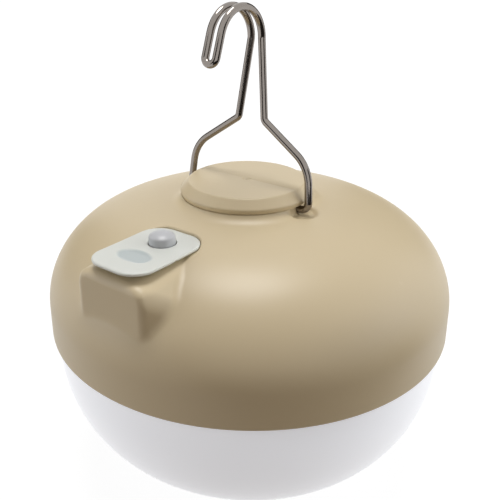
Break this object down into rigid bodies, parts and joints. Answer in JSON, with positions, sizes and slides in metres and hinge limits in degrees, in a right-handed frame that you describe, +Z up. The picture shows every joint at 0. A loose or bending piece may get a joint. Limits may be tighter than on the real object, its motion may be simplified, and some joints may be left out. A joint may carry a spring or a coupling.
{
  "type": "hanging camping lantern",
  "caption": "Round rechargeable camping lantern: domed shell over a frosted bowl, folding wire hook on a raised disc, push button and flap-covered charging port.",
  "frame": {"origin": "centre of the flat base that the lantern stands on", "axes": "+Z up through the middle of the body, +X along the hook's pivots, -Y towards the spout with the button and port"},
  "size_m": [0.132, 0.132, 0.1538],
  "materials": {
    "beige_shell": "fine satin texture",
    "magnet": "nickel plate",
    "polished_wire": "polished",
    "clear_silicone": "translucent, satin",
    "black_plastic": "moulded",
    "board_green": "solder mask",
    "plated_steel": "zinc plate",
    "white_plastic": "satin",
    "lamp_board": "white solder mask",
    "lamp_chip": "phosphor",
    "cell_sleeve": "shrink sleeve",
    "lead_sleeve": "PVC sleeve",
    "seal_rubber": "satin",
    "frosted_bowl": "frosted, lets light through"
  },
  "bodies": {
    "lamp": {"upper_shell": "beige_shell", "top_cap": "beige_shell", "top_magnet": "magnet", "cap_screws": "plated_steel", "cover_pad": "clear_silicone", "tact_switch": "black_plastic", "charge_board": "board_green", "board_parts": "black_plastic", "charge_socket": "plated_steel", "socket_tongue": "black_plastic", "board_screws": "plated_steel", "reflector_plate": "white_plastic", "plate_screws": "plated_steel", "led_board": "lamp_board", "led_chips": "lamp_chip", "led_board_screws": "plated_steel", "battery_cradle": "black_plastic", "battery_cell_front": "cell_sleeve", "battery_cell_back": "cell_sleeve", "nickel_strips": "plated_steel", "battery_strap": "black_plastic", "strap_screws": "plated_steel", "battery_leads": "lead_sleeve", "led_leads": "lead_sleeve", "seal_ring": "seal_rubber", "diffuser": "frosted_bowl"},
    "hanger": {"hook": "polished_wire"},
    "button": {"power_button": "clear_silicone"},
    "plunger": {"switch_plunger": "black_plastic"},
    "flap": {"port_flap": "clear_silicone"}
  },
  "joints": [
    {"name": "hook_pivot", "type": "hinge", "parent": "lamp", "child": "hanger", "pos_m": [0, 0, 0.0919], "axis": [1, 0, 0], "range_deg": [-79, 50]},
    {"name": "button_press", "type": "slide", "parent": "lamp", "child": "button", "axis": [0, 0, -1], "range_m": [0, 0.0006], "stiffness_N_per_m": 1500},
    {"name": "plunger_press", "type": "slide", "parent": "lamp", "child": "plunger", "axis": [0, 0, -1], "range_m": [0, 0.0006]},
    {"name": "flap_hinge", "type": "hinge", "parent": "lamp", "child": "flap", "pos_m": [0, -0.0463, 0.0896], "axis": [-1, 0, 0], "range_deg": [0, 110], "stiffness_Nm_per_rad": 0.0005}
  ],
  "couplings": [
    {"joint": "plunger_press", "follows": "button_press", "ratio": 1}
  ]
}
